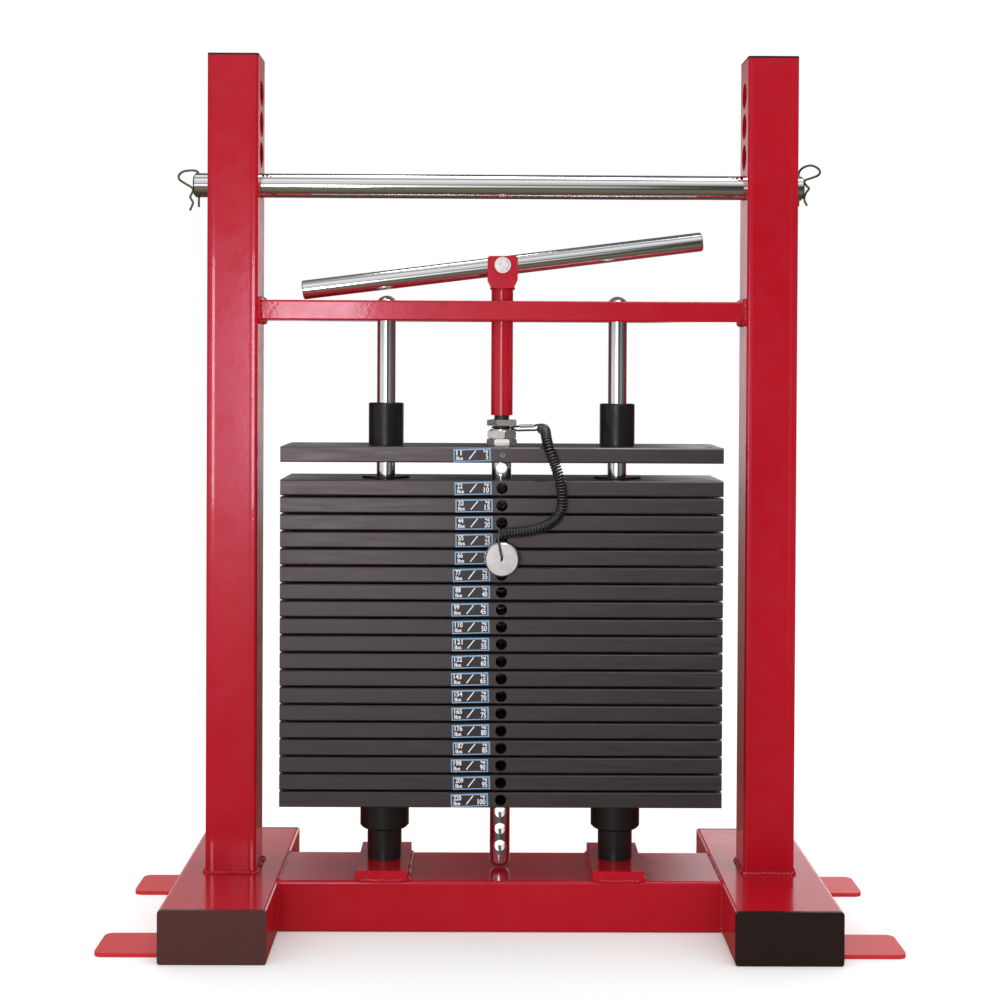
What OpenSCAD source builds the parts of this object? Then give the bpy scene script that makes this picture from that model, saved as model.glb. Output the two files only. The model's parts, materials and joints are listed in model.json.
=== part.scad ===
// Weight stack lifting stand: a welded tube frame, a pin-loaded stack of steel
// plates on two guide rods, and a tilting bar handle that lifts what is pinned.
// Origin on the floor under the middle of the stand, +X right, +Y back, +Z up.

/* [Feet and base] */
// Length of each foot tube, front to back
foot_length = 280; // [260:10:340]
// Width of each foot tube
foot_width = 100; // [80:5:110]
// Height of the feet and of the base beam
base_height = 50; // [40:5:60]
// Depth of the base beam
beam_depth = 100; // [80:5:110]
// Reach of each floor tab beyond its foot
tab_reach = 63; // [40:1:80]

/* [Uprights] */
// Distance between the centre lines of the two uprights
upright_spacing = 530; // [500:5:560]
// Side of the square upright tube
upright_side = 50; // [45:1:55]
// Overall height of the stand
stand_height = 855; // [850:5:950]
// Wall of the foot, beam and upright tubes
tube_wall = 3; // [2:0.5:4]
// Height of the lowest stop bar hole
bar_height = 728; // [715:1:735]
// Vertical step between the stop bar holes
bar_step = 30.5; // [28:0.5:34]
// Number of stop bar holes in each upright
bar_holes = 4; // [2:1:4]

/* [Guide rods] */
// Distance between the two guide rods
rod_spacing = 230; // [180:5:260]
// Diameter of a guide rod
rod_d = 19; // [16:0.5:22]
// Height of the crossbar's underside
crossbar_z = 594; // [590:1:600]

/* [Plates] */
// Length of a weight plate
plate_length = 429; // [400:1:440]
// Depth of a weight plate
plate_depth = 100; // [90:1:110]
// Thickness of a weight plate
plate_height = 15; // [14:0.5:16]
// Height of one plate with its bush flange
plate_pitch = 16.8; // [16.5:0.1:17]
// Height of the stack's underside
stack_z = 121.5; // [118:0.5:124]
// Plates below the top plate
plate_count = 19; // [19:1:19]
// Plates that the selector pin holds
pinned_count = 5; // [5:1:5]

/* [Lifting gear] */
// Diameter of the perforated selector stem
stem_d = 20; // [18:0.5:21]
// Diameter of the selector pin
pin_d = 10; // [8:0.5:10]
// Diameter of the selector pin's knob
knob_d = 32.5; // [28:0.5:36]
// Height of the handle's pivot bolt
pivot_z = 649.5; // [649:0.1:650]
// Length of the handle bar
handle_length = 400; // [380:5:400]
// Diameter of the handle bar
handle_d = 19; // [18:0.5:19]
// Tilt at which one end of the handle rests on the crossbar
handle_tilt = 7.2; // [6:0.1:7.2]
// Diameter of the stop bar
stop_bar_d = 24; // [22:0.5:24]
// Length of the stop bar
stop_bar_length = 605; // [603:1:610]
// How far the stop bar stands off centre, to the left
stop_bar_offset = 3.9; // [0:0.1:4]

/* [Hidden] */
$fn = 48;
fit_gap = 0.05;

// Frame
upright_x = upright_spacing / 2;
upright_inner_x = upright_x - upright_side / 2;
upright_cap_height = 2;
upright_top = stand_height - upright_cap_height;
foot_inner_x = upright_x - foot_width / 2;
foot_outer_x = upright_x + foot_width / 2;
foot_cap_thick = 4;
cap_insert = 14;
corner_r = 3;
bar_hole_d = 25.5;
tab_thick = 4;
tab_width = 56;
tab_y = 92;
tab_corner_r = 8;
crossbar_height = 20;
crossbar_depth = 40;
crossbar_wall = 2;
crossbar_top = crossbar_z + crossbar_height;

// Guide rods and buffers
rod_x = rod_spacing / 2;
rod_bore_d = rod_d + 0.6;
rod_top = 619.5;
rod_dome_h = 5;
saddle_width = 50;
saddle_thick = 10;
saddle_top = base_height + saddle_thick;
set_screw_d = 6;
set_screw_length = 14;
sleeve_d = 34;
buffer_d = 48.5;
buffer_z = 91;
buffer_chamfer_h = 2;

// Plates
bush_d = 26;
bush_flange_d = 48;
bush_flange_h = plate_pitch - plate_height;
stack_gap = 0.3;
plate_chamfer = 1.2;
stem_hole_d = stem_d + 2;
pin_hole_d = pin_d + 1;
pin_hole_depth = 74;
label_size = [36, 0.4, 12.4];
label_x = -28;
top_plate_z = 456;
top_plate_top = top_plate_z + plate_height;
peg_hole_d = 9;
peg_x = 203;
peg_y = 28;
inner_peg_x = 38;

// Lifting gear
stem_bottom = 52;
stem_screw_d = 6;
stem_screw_length = 38;
free_stem_holes = 3;
// How far the free holes under the stack sit below the pitch of the others
free_hole_drop = 5;
stem_end_chamfer = 3;
stud_d = 16;
stud_bottom = 456;
stud_top = 531;
nut_flats = 26;
lower_nut_z = top_plate_top;
middle_nut_z = 478;
middle_nut_height = 9;
nut_washer_d = 24;
top_nut_z = 490.5;
collar_d = 35;
collar_top = 513;
lift_tube_d = 22;
lift_tube_z = 501;
clevis_z = 627;
clevis_top = pivot_z + 9;
clevis_width = 30;
clevis_depth = 28;
clevis_slot = 20;
clevis_slot_z = pivot_z - 12;
pivot_d = 6;
washer_thick = 1.6;
washer_d = 16;
bolt_head_h = 4;
pivot_nut_h = 6;
pin_z = stack_z + (plate_count - pinned_count) * plate_pitch + plate_height / 2;
pin_tip_y = 15;
knob_front_y = -68;
knob_thick = 15;
knob_grip = 8;

// Lanyard
cord_d = 2.1;
coil_outer_d = 10.8;
cord_z = 488.75;
loop_r = stud_d / 2 + cord_d / 2 + 0.3;
coil_route = [
  [39, -18, 488], [41, -27, 488], [42, -37, 486.5], [42.5, -47.5, 482], [43.6, -55, 475.5],
  [46, -59.5, 467], [50.6, -60, 455], [54, -60, 444.5], [56.5, -60, 433], [57.5, -60, 421],
  [57, -60, 413], [54.5, -60.5, 407], [50, -61, 401.5], [43.5, -61.5, 397], [36, -62, 393.5],
  [26.5, -62.5, 391.3], [17, -62.5, 390], [7.3, -62.5, 389.2], [-2.5, -62.5, 388.5]
];
tail_route = [
  [-3.5, -69, 384.5], [-3.2, -70.5, 381.5], [-2.6, -72, 377.5], [-1.7, -73.2, 372.5],
  [-0.6, -73.8, 368], [0, -72.5, 365], [0, -70, 364.2], [0, -67, 364.2], [0, -63, 364.2]
];

// Stop bar clips: outline of one clip in its own plane, outward and upward from
// the middle of the pin hole, straight leg first
clip_wire_d = 2.2;
clip_hole_d = 5;
clip_inset = 4.3;
clip_leg_x = stop_bar_length / 2 - clip_inset;
clip_route = [
  [0, -17], [0, -8], [0, 2], [0, 13], [2, 18.5], [7, 22], [13, 23], [19, 20.5],
  [21.5, 16.5], [19, 13], [12.5, 10.5], [7, 8.5], [6, 6], [8, 3], [10.5, 0],
  [8, -3.5], [6.2, -8], [6.2, -12], [8.5, -16.5]
];
left_clip_route = [
  [0, -21], [0, -10], [0, 0], [0, 9], [1.2, 13], [4.4, 14.6], [9.4, 14.6], [15.4, 13.6],
  [19.2, 10.8], [20.2, 7.6], [18.2, 4.6], [11.8, 0.6], [7.2, -2.2], [5.9, -5.2], [7.2, -8.6],
  [8.6, -11.6], [7, -14.8], [5.9, -17.8], [8.6, -24.5]
];

// Rings of a tube swept along points; side_on must never run along the tube
function unit(v) = v / norm(v);
function tangent(p, k) = unit(p[min(k + 1, len(p) - 1)] - p[max(k - 1, 0)]);
function ring(p, k, r, sides, side_on) =
  let (t = tangent(p, k), n = unit(cross(side_on, t)), b = cross(t, n))
  [for (s = [0 : sides - 1]) p[k] + r * (cos(s * 360 / sides) * n + sin(s * 360 / sides) * b)];

// Catmull-Rom points: steps per span between the points of a route
function spline_point(a, b, c, d, t) =
  0.5 * (2 * b + (c - a) * t + (2 * a - 5 * b + 4 * c - d) * t * t
  + (3 * b - a - 3 * c + d) * t * t * t);
function spline(p, steps) = [
  for (k = [0 : len(p) - 2], s = [0 : steps - 1])
    spline_point(p[max(k - 1, 0)], p[k], p[k + 1], p[min(k + 2, len(p) - 1)], s / steps),
  p[len(p) - 1]
];

module swept_tube(p, r, sides, side_on) {
  last = len(p) - 1;
  points = [for (k = [0 : last]) each ring(p, k, r, sides, side_on)];
  walls = [
    for (k = [0 : last - 1], s = [0 : sides - 1])
      let (a = k * sides + s, b = k * sides + (s + 1) % sides)
      each [[a, a + sides, b], [b, a + sides, b + sides]]
  ];
  start_cap = [for (s = [0 : sides - 1]) s];
  end_cap = [for (s = [sides - 1 : -1 : 0]) last * sides + s];
  polyhedron(points, concat(walls, [start_cap, end_cap]), convexity = 6);
}

// Flat outlines
module rounded_outline(w, d, r) {
  square([w - 2 * r, d], center = true);
  square([w, d - 2 * r], center = true);
  for (sx = [-1, 1], sy = [-1, 1])
    translate([sx * (w / 2 - r), sy * (d / 2 - r)]) circle(r);
}

// Hollow rectangular tube standing on z = 0
module box_tube(w, d, h, wall) {
  difference() {
    linear_extrude(h) rounded_outline(w, d, corner_r);
    translate([0, 0, -1]) linear_extrude(h + 2) square([w - 2 * wall, d - 2 * wall], center = true);
  }
}

module along_x(x, y, z, d, length) {
  translate([x, y, z]) rotate([0, 90, 0]) cylinder(d = d, h = length, center = true);
}

module along_y(x, y, z, d, length) {
  translate([x, y, z]) rotate([-90, 0, 0]) cylinder(d = d, h = length);
}

// Base and feet
module foot(side) {
  color("firebrick")
  translate([side * upright_x, foot_length / 2 - foot_cap_thick, base_height / 2])
  rotate([90, 0, 0])
  box_tube(foot_width, base_height, foot_length - 2 * foot_cap_thick, tube_wall);
}

module foot_caps() {
  insert_w = foot_width - 2 * tube_wall - 2 * fit_gap;
  insert_h = base_height - 2 * tube_wall - 2 * fit_gap;
  color("#3a2222")
  for (side = [-1, 1], end = [-1, 1])
    translate([side * upright_x, end * foot_length / 2, base_height / 2])
    rotate([90 * end, 0, 0]) {
      linear_extrude(foot_cap_thick) rounded_outline(foot_width, base_height, corner_r);
      difference() {
        translate([0, 0, foot_cap_thick]) linear_extrude(cap_insert)
          square([insert_w, insert_h], center = true);
        translate([0, 0, foot_cap_thick]) linear_extrude(cap_insert + 1)
          square([insert_w - 6, insert_h - 6], center = true);
      }
    }
}

module floor_tabs() {
  color("firebrick")
  for (side = [-1, 1], end = [-1, 1])
    translate([side * foot_outer_x, end * tab_y, 0])
    scale([side, 1, 1])
    linear_extrude(tab_thick) union() {
      translate([0, -tab_width / 2]) square([tab_reach - tab_corner_r, tab_width]);
      translate([0, -tab_width / 2 + tab_corner_r])
        square([tab_reach, tab_width - 2 * tab_corner_r]);
      for (sy = [-1, 1])
        translate([tab_reach - tab_corner_r, sy * (tab_width / 2 - tab_corner_r)])
          circle(tab_corner_r);
    }
}

module base_beam() {
  color("firebrick")
  translate([-foot_inner_x, 0, base_height / 2])
  rotate([90, 0, 90])
  box_tube(beam_depth, base_height, 2 * foot_inner_x, tube_wall);
}

// Uprights
module upright(side) {
  color("firebrick")
  difference() {
    translate([side * upright_x, 0, base_height])
      box_tube(upright_side, upright_side, upright_top - base_height, tube_wall);
    for (k = [0 : bar_holes - 1])
      along_x(side * upright_x, 0, bar_height + k * bar_step, bar_hole_d, upright_side + 2);
  }
}

module upright_caps() {
  insert = upright_side - 2 * tube_wall - 2 * fit_gap;
  color("black")
  for (side = [-1, 1])
    translate([side * upright_x, 0, upright_top]) {
      linear_extrude(upright_cap_height) rounded_outline(upright_side, upright_side, corner_r);
      difference() {
        translate([0, 0, -cap_insert]) linear_extrude(cap_insert) square(insert, center = true);
        translate([0, 0, -cap_insert - 1]) linear_extrude(cap_insert + 1)
          square(insert - 5, center = true);
      }
    }
}

module crossbar() {
  color("firebrick")
  difference() {
    translate([-upright_inner_x, 0, crossbar_z + crossbar_height / 2])
      rotate([90, 0, 90])
      difference() {
        linear_extrude(2 * upright_inner_x)
          rounded_outline(crossbar_depth, crossbar_height, 2);
        translate([0, 0, -1]) linear_extrude(2 * upright_inner_x + 2)
          square([crossbar_depth - 2 * crossbar_wall, crossbar_height - 2 * crossbar_wall],
                 center = true);
      }
    for (side = [-1, 1])
      translate([side * rod_x, 0, crossbar_z - 1])
        cylinder(d = rod_d + 2 * fit_gap, h = crossbar_height + 2);
    translate([0, 0, crossbar_z - 1]) cylinder(d = lift_tube_d + 2, h = crossbar_height + 2);
  }
}

// Guide rods, their saddles and the buffers under the stack
module rod_saddles() {
  color("firebrick")
  for (side = [-1, 1])
    difference() {
      translate([side * rod_x - saddle_width / 2, -beam_depth / 2, base_height])
        cube([saddle_width, beam_depth, saddle_thick]);
      translate([side * rod_x, 0, base_height - 1])
        cylinder(d = rod_d + 2 * fit_gap, h = saddle_thick + 2);
      along_x(side * (rod_x + saddle_width / 2), 0, base_height + saddle_thick / 2,
              set_screw_d + 2 * fit_gap, saddle_width);
    }
}

module rod_set_screws() {
  color("dimgray")
  for (side = [-1, 1])
    difference() {
      along_x(side * (rod_x + rod_d / 2 + set_screw_length / 2 + 0.1), 0,
              base_height + saddle_thick / 2, set_screw_d, set_screw_length);
      along_x(side * (rod_x + rod_d / 2 + set_screw_length), 0,
              base_height + saddle_thick / 2, 3 / cos(30), 6, $fn = 6);
    }
}

module guide_rod(side) {
  color("silver")
  translate([side * rod_x, 0, 0])
  union() {
    translate([0, 0, base_height])
      cylinder(d = rod_d, h = rod_top - rod_dome_h - base_height);
    translate([0, 0, rod_top - rod_dome_h]) rotate_extrude() dome_outline(rod_d / 2, rod_dome_h);
  }
}

// Quarter outline of a shallow dome of radius r and height h
module dome_outline(r, h) {
  ball_r = (r * r + h * h) / (2 * h);
  intersection() {
    translate([0, h - ball_r]) circle(ball_r);
    square([r, h]);
  }
}

module buffer_sleeves() {
  color("#202020")
  for (side = [-1, 1])
    translate([side * rod_x, 0, saddle_top])
    difference() {
      cylinder(d = sleeve_d, h = buffer_z - saddle_top);
      translate([0, 0, -1]) cylinder(d = rod_bore_d, h = buffer_z - saddle_top + 2);
    }
}

module stack_buffers() {
  color("#151515")
  for (side = [-1, 1])
    translate([side * rod_x, 0, buffer_z])
    difference() {
      union() {
        cylinder(d1 = buffer_d - 2 * buffer_chamfer_h, d2 = buffer_d, h = buffer_chamfer_h);
        translate([0, 0, buffer_chamfer_h])
          cylinder(d = buffer_d, h = stack_z - buffer_z - buffer_chamfer_h);
      }
      translate([0, 0, -1]) cylinder(d = rod_bore_d, h = stack_z - buffer_z + 2);
    }
}

// Weight plates: number 1 is just below the top plate
function plate_z(number) = stack_z + (plate_count - number) * plate_pitch;

module bar_stock(length, depth, height, chamfer) {
  translate([-length / 2, 0, 0])
  rotate([90, 0, 90])
  linear_extrude(length)
  polygon([
    [-depth / 2, chamfer], [-depth / 2 + chamfer, 0],
    [depth / 2 - chamfer, 0], [depth / 2, chamfer],
    [depth / 2, height - chamfer], [depth / 2 - chamfer, height],
    [-depth / 2 + chamfer, height], [-depth / 2, height - chamfer]
  ]);
}

module weight_plate(number) {
  color("#3b393a")
  translate([0, 0, plate_z(number)])
  difference() {
    bar_stock(plate_length, plate_depth, plate_height, plate_chamfer);
    for (side = [-1, 1])
      translate([side * rod_x, 0, -1]) cylinder(d = bush_d + 2 * fit_gap, h = plate_height + 2);
    translate([0, 0, -1]) cylinder(d = stem_hole_d, h = plate_height + 2);
    along_y(0, -plate_depth / 2 - 1, plate_height / 2, pin_hole_d, pin_hole_depth + 1);
  }
}

module plate_bushes(first, last, top_flange_h) {
  color("#1c1c1c")
  for (number = [first : last], side = [-1, 1])
    translate([side * rod_x, 0, plate_z(number)])
    difference() {
      union() {
        cylinder(d = bush_d, h = plate_height);
        translate([0, 0, plate_height])
          cylinder(d = bush_flange_d, h = number == first ? top_flange_h : bush_flange_h);
      }
      translate([0, 0, -1]) cylinder(d = rod_bore_d, h = plate_pitch + 2);
    }
}

module plate_label(z) {
  color("steelblue")
  translate([label_x - label_size.x / 2, -plate_depth / 2 - label_size.y,
             z + (plate_height - label_size.z) / 2])
  cube(label_size);
}

module plate_labels(first, last) {
  for (number = [first : last]) plate_label(plate_z(number));
}

module lifted_plate_labels() {
  plate_label(top_plate_z);
  plate_labels(1, pinned_count);
}

// Carriage: what the handle lifts besides the pinned plates
module top_plate() {
  color("#3b393a")
  translate([0, 0, top_plate_z])
  difference() {
    bar_stock(plate_length, plate_depth, plate_height, plate_chamfer);
    for (side = [-1, 1])
      translate([side * rod_x, 0, -1]) cylinder(d = bush_d + 2 * fit_gap, h = plate_height + 2);
    translate([0, 0, -1]) cylinder(d = stem_d + 2 * fit_gap, h = plate_height + 2);
    for (sx = [-1, 1], sy = [-1, 1])
      translate([sx * peg_x, sy * peg_y, -1]) cylinder(d = peg_hole_d, h = plate_height + 2);
    for (sx = [-1, 1])
      translate([sx * inner_peg_x, 0, -1]) cylinder(d = peg_hole_d, h = plate_height + 2);
    along_y(0, -plate_depth / 2 - 1, plate_height / 2,
            stem_screw_d + 2 * fit_gap, plate_depth / 2 + 1);
  }
}

module stem_set_screw() {
  color("gray")
  along_y(0, -stem_d / 2 - stem_screw_length - 0.1, top_plate_z + plate_height / 2,
          stem_screw_d, stem_screw_length);
}

module selector_stem() {
  color("silver")
  difference() {
    union() {
      translate([0, 0, stem_bottom])
        cylinder(d1 = stem_d - 2 * stem_end_chamfer, d2 = stem_d, h = stem_end_chamfer);
      translate([0, 0, stem_bottom + stem_end_chamfer])
        cylinder(d = stem_d, h = top_plate_top - stem_bottom - stem_end_chamfer);
    }
    for (number = [0 : plate_count])
      along_y(0, -stem_d, plate_z(number) + plate_height / 2, pin_hole_d, 2 * stem_d);
    for (number = [plate_count + 1 : plate_count + free_stem_holes])
      along_y(0, -stem_d, plate_z(number) + plate_height / 2 - free_hole_drop,
              pin_hole_d, 2 * stem_d);
    translate([0, 0, stud_bottom - 1])
      cylinder(d = stud_d + 2 * fit_gap, h = top_plate_top - stud_bottom + 2);
  }
}

module guide_collars() {
  color("#1c1c1c")
  for (side = [-1, 1])
    translate([side * rod_x, 0, top_plate_z])
    difference() {
      union() {
        cylinder(d = bush_d, h = plate_height);
        translate([0, 0, plate_height])
          cylinder(d = collar_d, h = collar_top - top_plate_top - 1);
        translate([0, 0, collar_top - top_plate_z - 1])
          cylinder(d1 = collar_d, d2 = collar_d - 2, h = 1);
      }
      translate([0, 0, -1]) cylinder(d = rod_bore_d, h = collar_top - top_plate_z + 2);
    }
}

// Hexagon nut with chamfered corners, standing on z = 0
module hex_nut(flats, height, bore, chamfer) {
  corner_d = flats / cos(30);
  difference() {
    intersection() {
      cylinder(d = corner_d, h = height, $fn = 6);
      union() {
        cylinder(d1 = corner_d - 2 * chamfer, d2 = corner_d, h = chamfer);
        translate([0, 0, chamfer]) cylinder(d = corner_d, h = height - 2 * chamfer);
        translate([0, 0, height - chamfer])
          cylinder(d1 = corner_d, d2 = corner_d - 2 * chamfer, h = chamfer);
      }
    }
    translate([0, 0, -1]) cylinder(d = bore, h = height + 2);
  }
}

module stem_nut(z, height, turn) {
  color("lightgray")
  translate([0, 0, z]) rotate([0, 0, turn])
  hex_nut(nut_flats, height, stud_d + 2 * fit_gap, 1);
}

module stem_middle_nut() {
  hex_height = 7.6;
  color("lightgray") {
    stem_nut(middle_nut_z, hex_height, 40.5);
    translate([0, 0, middle_nut_z + hex_height])
    difference() {
      cylinder(d = nut_washer_d, h = middle_nut_height - hex_height);
      translate([0, 0, -1]) cylinder(d = stud_d + 2 * fit_gap, h = middle_nut_height);
    }
  }
}

module lift_stud() {
  color("dimgray")
  translate([0, 0, stud_bottom]) cylinder(d = stud_d, h = stud_top - stud_bottom);
}

module lift_tube() {
  color("firebrick")
  translate([0, 0, lift_tube_z])
  difference() {
    cylinder(d = lift_tube_d, h = clevis_z - lift_tube_z);
    translate([0, 0, -1]) cylinder(d = stud_d + 2 * fit_gap, h = clevis_z - lift_tube_z + 2);
  }
}

module handle_clevis() {
  half = clevis_width / 2;
  neck = lift_tube_d / 2;
  color("firebrick")
  difference() {
    translate([0, clevis_depth / 2, 0]) rotate([90, 0, 0])
    linear_extrude(clevis_depth)
    polygon([
      [-neck, clevis_z], [neck, clevis_z], [half, clevis_z + 8], [half, clevis_top - 2],
      [half - 2, clevis_top], [2 - half, clevis_top], [-half, clevis_top - 2],
      [-half, clevis_z + 8]
    ]);
    translate([-half - 1, -clevis_slot / 2, clevis_slot_z])
      cube([clevis_width + 2, clevis_slot, clevis_top]);
    along_y(0, -clevis_depth, pivot_z, pivot_d + 2 * fit_gap, 2 * clevis_depth);
  }
}

module pivot_bolt() {
  shank_from = -clevis_depth / 2 - washer_thick;
  color("silver")
  union() {
    along_y(0, shank_from, pivot_z, pivot_d, clevis_depth + 2 * washer_thick + pivot_nut_h + 2);
    translate([0, shank_from - bolt_head_h, pivot_z]) rotate([-90, 0, 0])
      cylinder(d = 10 / cos(30), h = bolt_head_h, $fn = 6);
  }
}

module pivot_nut() {
  color("silver")
  translate([0, clevis_depth / 2 + washer_thick, pivot_z]) rotate([-90, 0, 0])
  hex_nut(10, pivot_nut_h, pivot_d + 2 * fit_gap, 0.5);
}

module pivot_washers() {
  color("silver")
  for (y = [-clevis_depth / 2 - washer_thick, clevis_depth / 2])
    translate([0, y, pivot_z]) rotate([-90, 0, 0])
    difference() {
      cylinder(d = washer_d, h = washer_thick);
      translate([0, 0, -1]) cylinder(d = pivot_d + 2 * fit_gap, h = washer_thick + 2);
    }
}

// Lanyard: a loop round the stud, the coil's outer shape, and the end at the knob
module lanyard_loop() {
  color("black") {
    translate([0, 0, cord_z]) rotate_extrude() translate([loop_r, 0]) circle(d = cord_d, $fn = 16);
    swept_tube([[8.8, -3.7, cord_z], [20, -9, cord_z], coil_route[0] + [-0.4, 1.3, 0]],
               cord_d / 2, 8, [0, 0, 1]);
  }
}

module lanyard_coil() {
  color("black") swept_tube(spline(coil_route, 3), coil_outer_d / 2, 10, [1, 1, -1]);
}

module lanyard_tail() {
  color("black") swept_tube(spline(tail_route, 2), cord_d / 2, 8, [1, 0, 0]);
}

// Handle, selector pin and stop bar
module handle_bar() {
  color("silver")
  translate([0, 0, pivot_z]) rotate([0, -handle_tilt, 0])
  difference() {
    union() {
      along_x(0, 0, 0, handle_d, handle_length - 2);
      for (side = [-1, 1])
        translate([side * (handle_length / 2 - 1), 0, 0]) rotate([0, 90 * side, 0])
          cylinder(d1 = handle_d, d2 = handle_d - 2, h = 1);
    }
    along_y(0, -handle_d, 0, pivot_d + 2 * fit_gap, 2 * handle_d);
  }
}

module pin_shaft() {
  color("silver")
  union() {
    along_y(0, knob_front_y + knob_thick - knob_grip, pin_z, pin_d,
            pin_tip_y - 1 - (knob_front_y + knob_thick - knob_grip));
    translate([0, pin_tip_y - 1, pin_z]) rotate([-90, 0, 0])
      cylinder(d1 = pin_d, d2 = pin_d - 2, h = 1);
  }
}

module pin_knob() {
  rim = 1.2;
  cord_hole_d = 4;
  color("gainsboro")
  translate([0, knob_front_y, pin_z]) rotate([-90, 0, 0])
  difference() {
    union() {
      cylinder(d1 = knob_d - 2 * rim, d2 = knob_d, h = rim);
      translate([0, 0, rim]) cylinder(d = knob_d, h = knob_thick - rim);
    }
    translate([0, 0, knob_thick - knob_grip])
      cylinder(d = pin_d + 2 * fit_gap, h = knob_grip + 1);
    translate([0, 0, -1]) cylinder(d = cord_hole_d, h = knob_thick - knob_grip);
  }
}

module stop_bar() {
  color("silver")
  difference() {
    union() {
      along_x(-stop_bar_offset, 0, bar_height, stop_bar_d, stop_bar_length - 3);
      for (side = [-1, 1])
        translate([side * (stop_bar_length / 2 - 1.5) - stop_bar_offset, 0, bar_height])
          rotate([0, 90 * side, 0]) cylinder(d1 = stop_bar_d, d2 = stop_bar_d - 3, h = 1.5);
    }
    for (side = [-1, 1])
      translate([side * clip_leg_x - stop_bar_offset, 0, bar_height - stop_bar_d])
        cylinder(d = clip_hole_d, h = 2 * stop_bar_d);
  }
}

module clip(side, route) {
  path = [
    for (p = route)
      [side * (clip_leg_x + p.x) - stop_bar_offset, 0, bar_height + p.y]
  ];
  color("goldenrod") swept_tube(spline(path, 3), clip_wire_d / 2, 8, [0, 1, 0]);
}

foot(-1);  // left_foot
foot(1);  // right_foot
foot_caps();
floor_tabs();
base_beam();
upright(-1);  // left_upright
upright(1);  // right_upright
upright_caps();
crossbar();
rod_saddles();
guide_rod(-1);  // left_guide_rod
guide_rod(1);  // right_guide_rod
rod_set_screws();
stack_buffers();
buffer_sleeves();
weight_plate(1);  // plate_10kg
weight_plate(2);  // plate_15kg
weight_plate(3);  // plate_20kg
weight_plate(4);  // plate_25kg
weight_plate(5);  // plate_30kg
weight_plate(6);  // plate_35kg
weight_plate(7);  // plate_40kg
weight_plate(8);  // plate_45kg
weight_plate(9);  // plate_50kg
weight_plate(10);  // plate_55kg
weight_plate(11);  // plate_60kg
weight_plate(12);  // plate_65kg
weight_plate(13);  // plate_70kg
weight_plate(14);  // plate_75kg
weight_plate(15);  // plate_80kg
weight_plate(16);  // plate_85kg
weight_plate(17);  // plate_90kg
weight_plate(18);  // plate_95kg
weight_plate(19);  // plate_100kg
plate_bushes(1, pinned_count, bush_flange_h);  // lifted_plate_bushes
plate_bushes(pinned_count + 1, plate_count, bush_flange_h - stack_gap);  // lower_plate_bushes
lifted_plate_labels();
plate_labels(pinned_count + 1, plate_count);  // lower_plate_labels
top_plate();
stem_set_screw();
selector_stem();
guide_collars();
stem_nut(lower_nut_z, 6.5, 0);  // stem_lower_nut
stem_middle_nut();
stem_nut(top_nut_z, 6, 10);  // stem_top_nut
lift_stud();
lift_tube();
handle_clevis();
pivot_bolt();
pivot_nut();
pivot_washers();
lanyard_loop();
lanyard_coil();
lanyard_tail();
handle_bar();
pin_shaft();
pin_knob();
stop_bar();
clip(-1, left_clip_route);  // left_clip
clip(1, clip_route);  // right_clip
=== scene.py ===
"""Looks of the pin-loaded weight stack stand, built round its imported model.

Metres, +Z up, +X to the right of a person who faces the labels, +Y to the back.
"""

import json
import math
import random

import bmesh
import bpy
from mathutils import Matrix, Vector


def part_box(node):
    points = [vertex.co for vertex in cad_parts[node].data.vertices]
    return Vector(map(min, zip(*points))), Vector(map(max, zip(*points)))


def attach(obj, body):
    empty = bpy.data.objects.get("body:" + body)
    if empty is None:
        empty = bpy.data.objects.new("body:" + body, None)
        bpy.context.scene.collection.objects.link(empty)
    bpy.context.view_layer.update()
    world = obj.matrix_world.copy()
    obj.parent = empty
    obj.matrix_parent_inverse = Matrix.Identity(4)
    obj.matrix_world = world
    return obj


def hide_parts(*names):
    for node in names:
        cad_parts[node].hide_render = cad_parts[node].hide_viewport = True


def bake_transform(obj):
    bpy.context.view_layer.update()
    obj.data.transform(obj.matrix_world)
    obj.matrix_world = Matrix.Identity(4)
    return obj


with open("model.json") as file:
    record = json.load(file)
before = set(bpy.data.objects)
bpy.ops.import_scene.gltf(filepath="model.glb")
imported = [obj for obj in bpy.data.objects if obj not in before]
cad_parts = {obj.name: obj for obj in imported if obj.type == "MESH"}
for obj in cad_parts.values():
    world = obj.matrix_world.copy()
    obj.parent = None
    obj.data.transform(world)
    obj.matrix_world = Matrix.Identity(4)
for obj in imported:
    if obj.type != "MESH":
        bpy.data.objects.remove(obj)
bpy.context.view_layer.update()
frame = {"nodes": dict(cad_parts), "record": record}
nodes = frame["nodes"]
scene = bpy.context.scene
MM = 0.001
UP = Vector((0, 0, 1))


def mm(*values):
    return Vector([v * MM for v in values])


# ---------------------------------------------------------------- camera

EYE = mm(-20.6, -1658.3, 544.0)
TURN_DIP_LEAN_DEG = (-0.377, 0.658, 0.279)
FOCAL_LENGTH = 59.93
FRAME_SHIFT = (0.0078, -0.109)


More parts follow.
